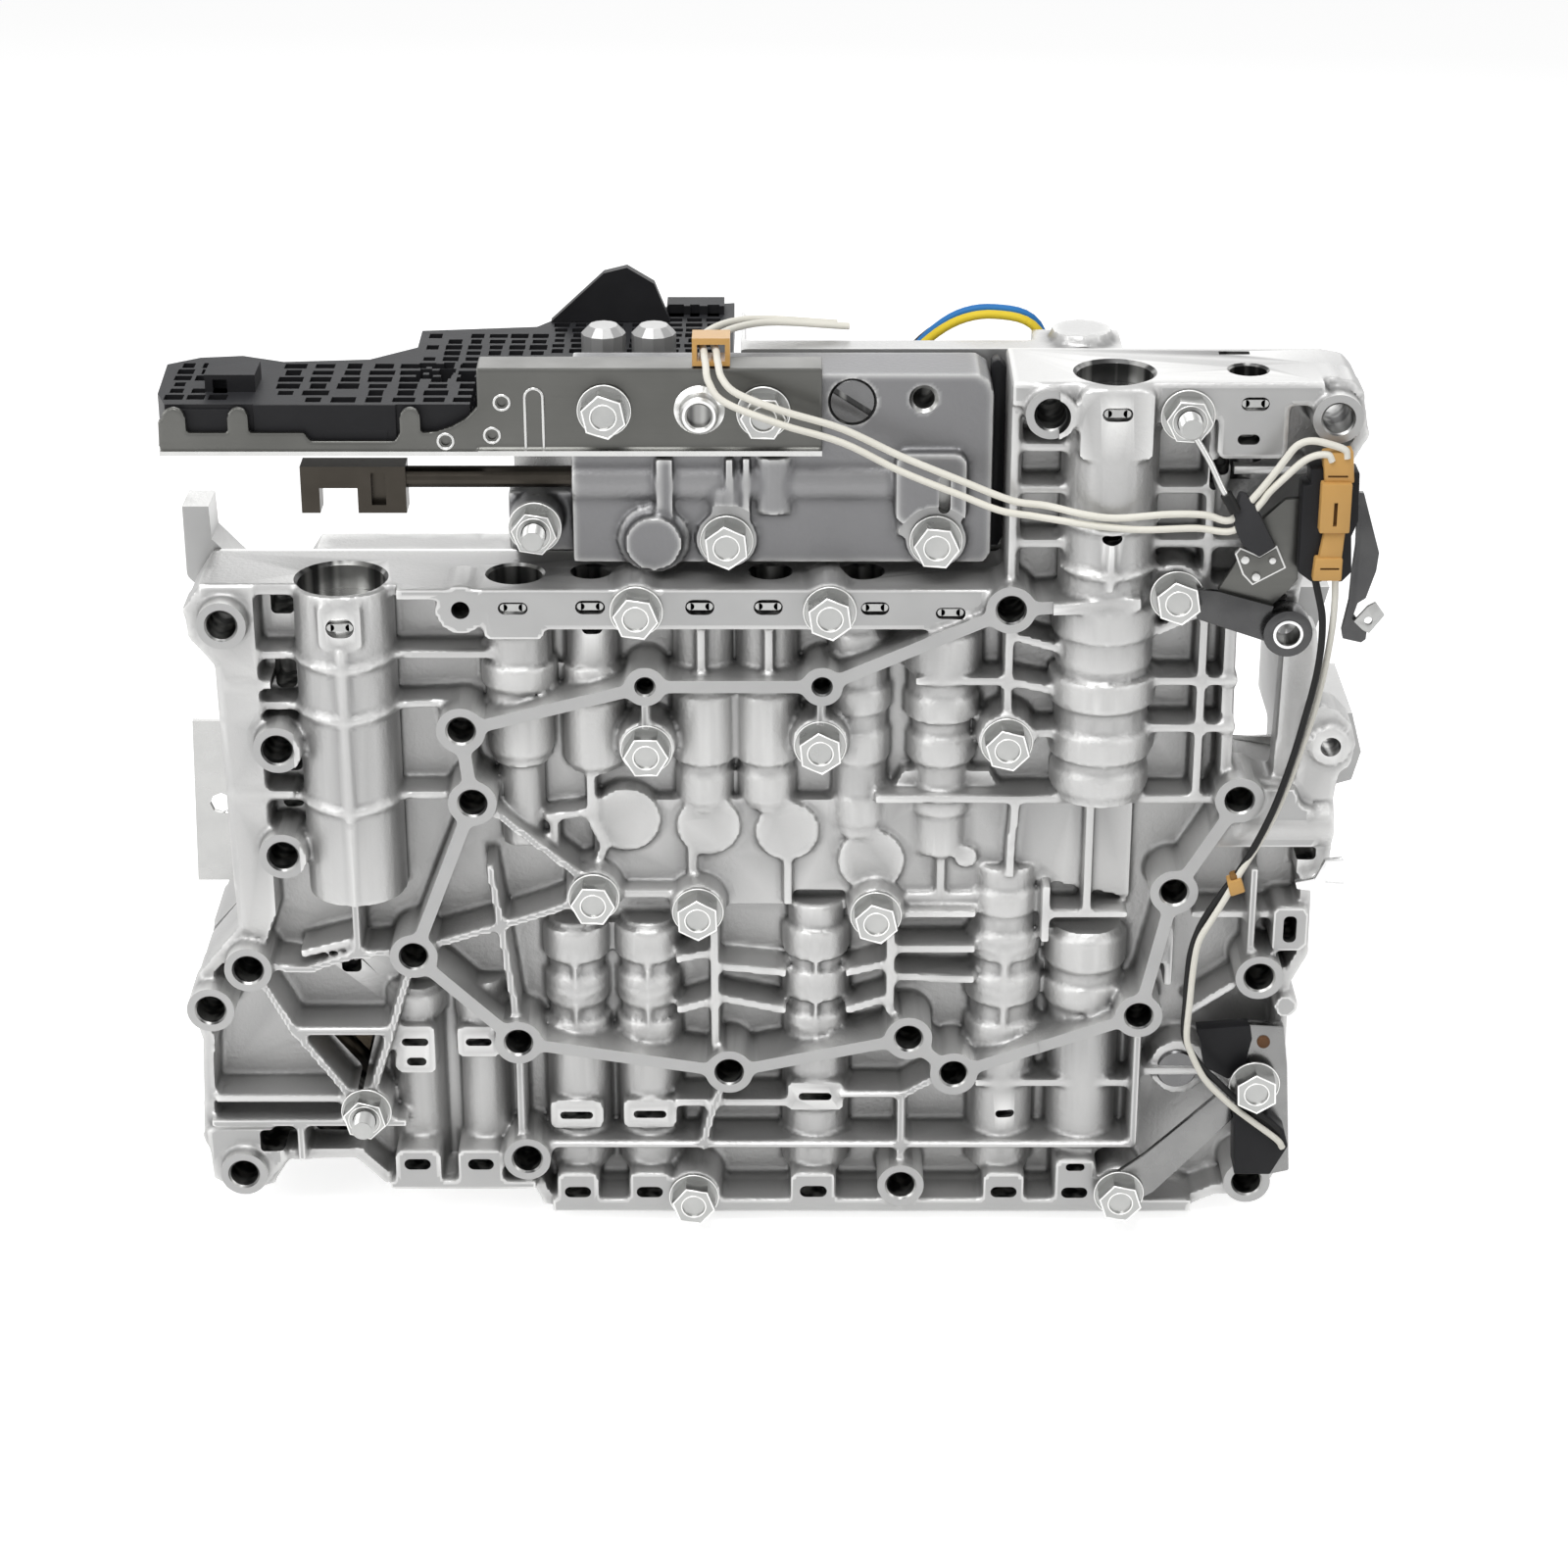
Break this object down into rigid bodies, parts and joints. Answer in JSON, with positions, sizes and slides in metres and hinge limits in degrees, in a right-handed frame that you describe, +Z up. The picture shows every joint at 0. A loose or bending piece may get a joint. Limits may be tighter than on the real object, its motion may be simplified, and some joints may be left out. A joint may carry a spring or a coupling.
{
  "type": "transmission valve body",
  "caption": "Two-part cast valve body of an automatic transmission, with a sliding manual valve, sprung spool valves, a conductor plate on a bracket, flange bolts and clipped sensor leads.",
  "frame": {"origin": "middle of the flat underside of the castings' joint flange, on mount base", "axes": "+X to the right along the long side, +Y to the back through the thickness, +Z up"},
  "size_m": [0.3056, 0.1062, 0.2427],
  "materials": {
    "cast_aluminium": "sand-cast aluminium with machined faces",
    "zinc_steel": "bright zinc-plated steel",
    "sheet_steel": "plain cold-rolled steel sheet",
    "ground_steel": "ground steel",
    "black_plastic": "black glass-filled plastic",
    "grey_rubber": "dark rubber",
    "tan_plastic": "tan moulded plastic",
    "white_sleeve": "off-white lead insulation",
    "black_sleeve": "black lead insulation",
    "yellow_sleeve": "yellow lead insulation",
    "blue_sleeve": "blue lead insulation",
    "strainer_felt": "brown felt"
  },
  "bodies": {
    "castings": {"front_body": "cast_aluminium", "separator_plate": "sheet_steel", "rear_body": "cast_aluminium", "manual_valve_body": "cast_aluminium", "regulator_spring": "sheet_steel", "regulator_plug": "ground_steel", "column_spring": "sheet_steel", "column_plug": "ground_steel", "bolt_top_a": "zinc_steel", "bolt_top_b": "zinc_steel", "bolt_middle_a": "zinc_steel", "bolt_middle_b": "zinc_steel", "bolt_middle_c": "zinc_steel", "bolt_centre_a": "zinc_steel", "bolt_centre_b": "zinc_steel", "bolt_centre_c": "zinc_steel", "bolt_bottom": "zinc_steel", "bolt_manual_a": "zinc_steel", "bolt_manual_b": "zinc_steel", "bolt_bracket_a": "zinc_steel", "bolt_bracket_b": "zinc_steel", "bolt_sensor": "zinc_steel", "bolt_strap": "zinc_steel", "bolt_arm": "zinc_steel", "nut_bracket": "zinc_steel", "stud_nut_column": "zinc_steel", "stud_nut_lower_left": "zinc_steel", "stud_nut_manual": "zinc_steel", "conductor_bracket": "sheet_steel", "conductor_housing": "black_plastic", "conductor_flap": "black_plastic", "solenoid_a": "cast_aluminium", "solenoid_b": "cast_aluminium", "speed_sensor": "black_plastic", "sensor_strap": "sheet_steel", "selector_arm": "sheet_steel", "sheet_bracket": "sheet_steel", "lead_connector": "tan_plastic", "connector_holder": "black_plastic", "yellow_clip": "tan_plastic", "lead_pad": "grey_rubber", "tan_clip": "tan_plastic", "strainer": "strainer_felt", "side_plug": "ground_steel", "side_clip": "ground_steel", "lead_white_a": "white_sleeve", "lead_white_b": "white_sleeve", "lead_black": "black_sleeve", "lead_white_c": "white_sleeve", "lead_yellow": "yellow_sleeve", "lead_blue": "blue_sleeve", "lead_grey": "black_sleeve"},
    "manual_valve": {"manual_valve": "ground_steel"},
    "regulator_valve": {"regulator_valve": "ground_steel"},
    "column_valve": {"column_valve": "ground_steel"},
    "clutch_valve": {"clutch_valve": "ground_steel"}
  },
  "joints": [
    {"name": "manual_valve_slide", "type": "slide", "parent": "castings", "child": "manual_valve", "axis": [1, 0, 0], "range_m": [-0.012, 0.018]},
    {"name": "regulator_valve_slide", "type": "slide", "parent": "castings", "child": "regulator_valve", "axis": [0, 0, 1], "range_m": [0, 0.008], "stiffness_N_per_m": 800, "springref_m": -0.01, "deforming": ["regulator_spring"]},
    {"name": "column_valve_slide", "type": "slide", "parent": "castings", "child": "column_valve", "axis": [0, 0, 1], "range_m": [0, 0.012], "stiffness_N_per_m": 600, "springref_m": -0.01, "deforming": ["column_spring"]},
    {"name": "clutch_valve_slide", "type": "slide", "parent": "castings", "child": "clutch_valve", "axis": [0, 0, 1], "range_m": [0, 0.006]}
  ]
}
